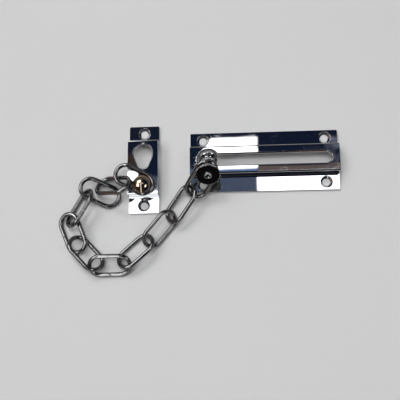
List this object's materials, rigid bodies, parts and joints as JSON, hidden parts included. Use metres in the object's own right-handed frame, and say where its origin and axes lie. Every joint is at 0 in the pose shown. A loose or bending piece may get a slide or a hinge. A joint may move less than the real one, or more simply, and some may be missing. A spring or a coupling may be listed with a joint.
{
  "type": "door chain",
  "caption": "Door security chain of interlocked wire links between a riveted keeper plate and a sliding knob in a slotted, raised slide plate.",
  "frame": {"origin": "middle of the slide plate's back face, in the plane that lies on the door", "axes": "+X along the slide plate away from the chain, +Y across the slide plate towards its upper edge in the picture, +Z out from the door"},
  "size_m": [0.1975, 0.1075, 0.0282],
  "materials": {
    "plates": "bright chrome plated strip",
    "knob": "bright chrome plated turned metal",
    "chain": "bright chrome plated wire",
    "rivet": "bright chrome plated domed head"
  },
  "bodies": {
    "slide_plate": {"slide_plate": "plates"},
    "knob": {"knob_stud": "knob", "knob_disc": "knob"},
    "link_11": {"link_11": "chain"},
    "link_10": {"link_10": "chain"},
    "link_09": {"link_09": "chain"},
    "link_08": {"link_08": "chain"},
    "link_07": {"link_07": "chain"},
    "link_06": {"link_06": "chain"},
    "link_05": {"link_05": "chain"},
    "link_04": {"link_04": "chain"},
    "link_03": {"link_03": "chain"},
    "link_02": {"link_02": "chain"},
    "link_01": {"link_01": "chain"},
    "keeper": {"keeper_plate": "plates", "keeper_rivet": "rivet"}
  },
  "joints": [
    {"name": "knob_slide", "type": "slide", "parent": "slide_plate", "child": "knob", "axis": [1, 0, 0], "range_m": [0, 0.021]},
    {"name": "link_11_swing", "type": "hinge", "parent": "knob", "child": "link_11", "pos_m": [-0.03645, -0.0052, 0.02104], "axis": [0, 0, 1], "range_deg": [-6, 12]},
    {"name": "link_10_swing", "type": "hinge", "parent": "link_11", "child": "link_10", "pos_m": [-0.05295, -0.01895, 0.00926], "axis": [0, 0, -1], "range_deg": [-50, 28]},
    {"name": "link_09_swing", "type": "hinge", "parent": "link_10", "child": "link_09", "pos_m": [-0.06414, -0.04183, 0.00376], "axis": [0, 0, 1], "range_deg": [-18, 26]},
    {"name": "link_08_swing", "type": "hinge", "parent": "link_09", "child": "link_08", "pos_m": [-0.07969, -0.05888, 0.00627], "axis": [0, 0, -1], "range_deg": [-34, 8]},
    {"name": "link_07_swing", "type": "hinge", "parent": "link_08", "child": "link_07", "pos_m": [-0.09393, -0.07167, 0.00497], "axis": [0, 0, 1], "range_deg": [-4, 44]},
    {"name": "link_06_swing", "type": "hinge", "parent": "link_07", "child": "link_06", "pos_m": [-0.12221, -0.07268, 0.00789], "axis": [0, 0, -1], "range_deg": [-52, 5]},
    {"name": "link_05_swing", "type": "hinge", "parent": "link_06", "child": "link_05", "pos_m": [-0.12506, -0.05519, 0.00366], "axis": [0, 0, 1], "range_deg": [-8, 20]},
    {"name": "link_04_swing", "type": "hinge", "parent": "link_05", "child": "link_04", "pos_m": [-0.13582, -0.03692, 0.00491], "axis": [0, 0, -1], "range_deg": [-22, 12]},
    {"name": "link_03_swing", "type": "hinge", "parent": "link_04", "child": "link_03", "pos_m": [-0.12763, -0.02107, 0.00452], "axis": [0, 0, 1], "range_deg": [-14, 26]},
    {"name": "link_02_swing", "type": "hinge", "parent": "link_03", "child": "link_02", "pos_m": [-0.11577, -0.01319, 0.00421], "axis": [0, 0, -1], "range_deg": [-55, 12]},
    {"name": "link_01_swing", "type": "hinge", "parent": "link_02", "child": "link_01", "pos_m": [-0.09686, -0.00956, 0.01125], "axis": [0, 0, 1], "range_deg": [-3, 80]},
    {"name": "keeper_swing", "type": "hinge", "parent": "link_01", "child": "keeper", "pos_m": [-0.0851, -0.01722, 0], "axis": [0, 0, -1], "range_deg": [-10, 26]}
  ]
}
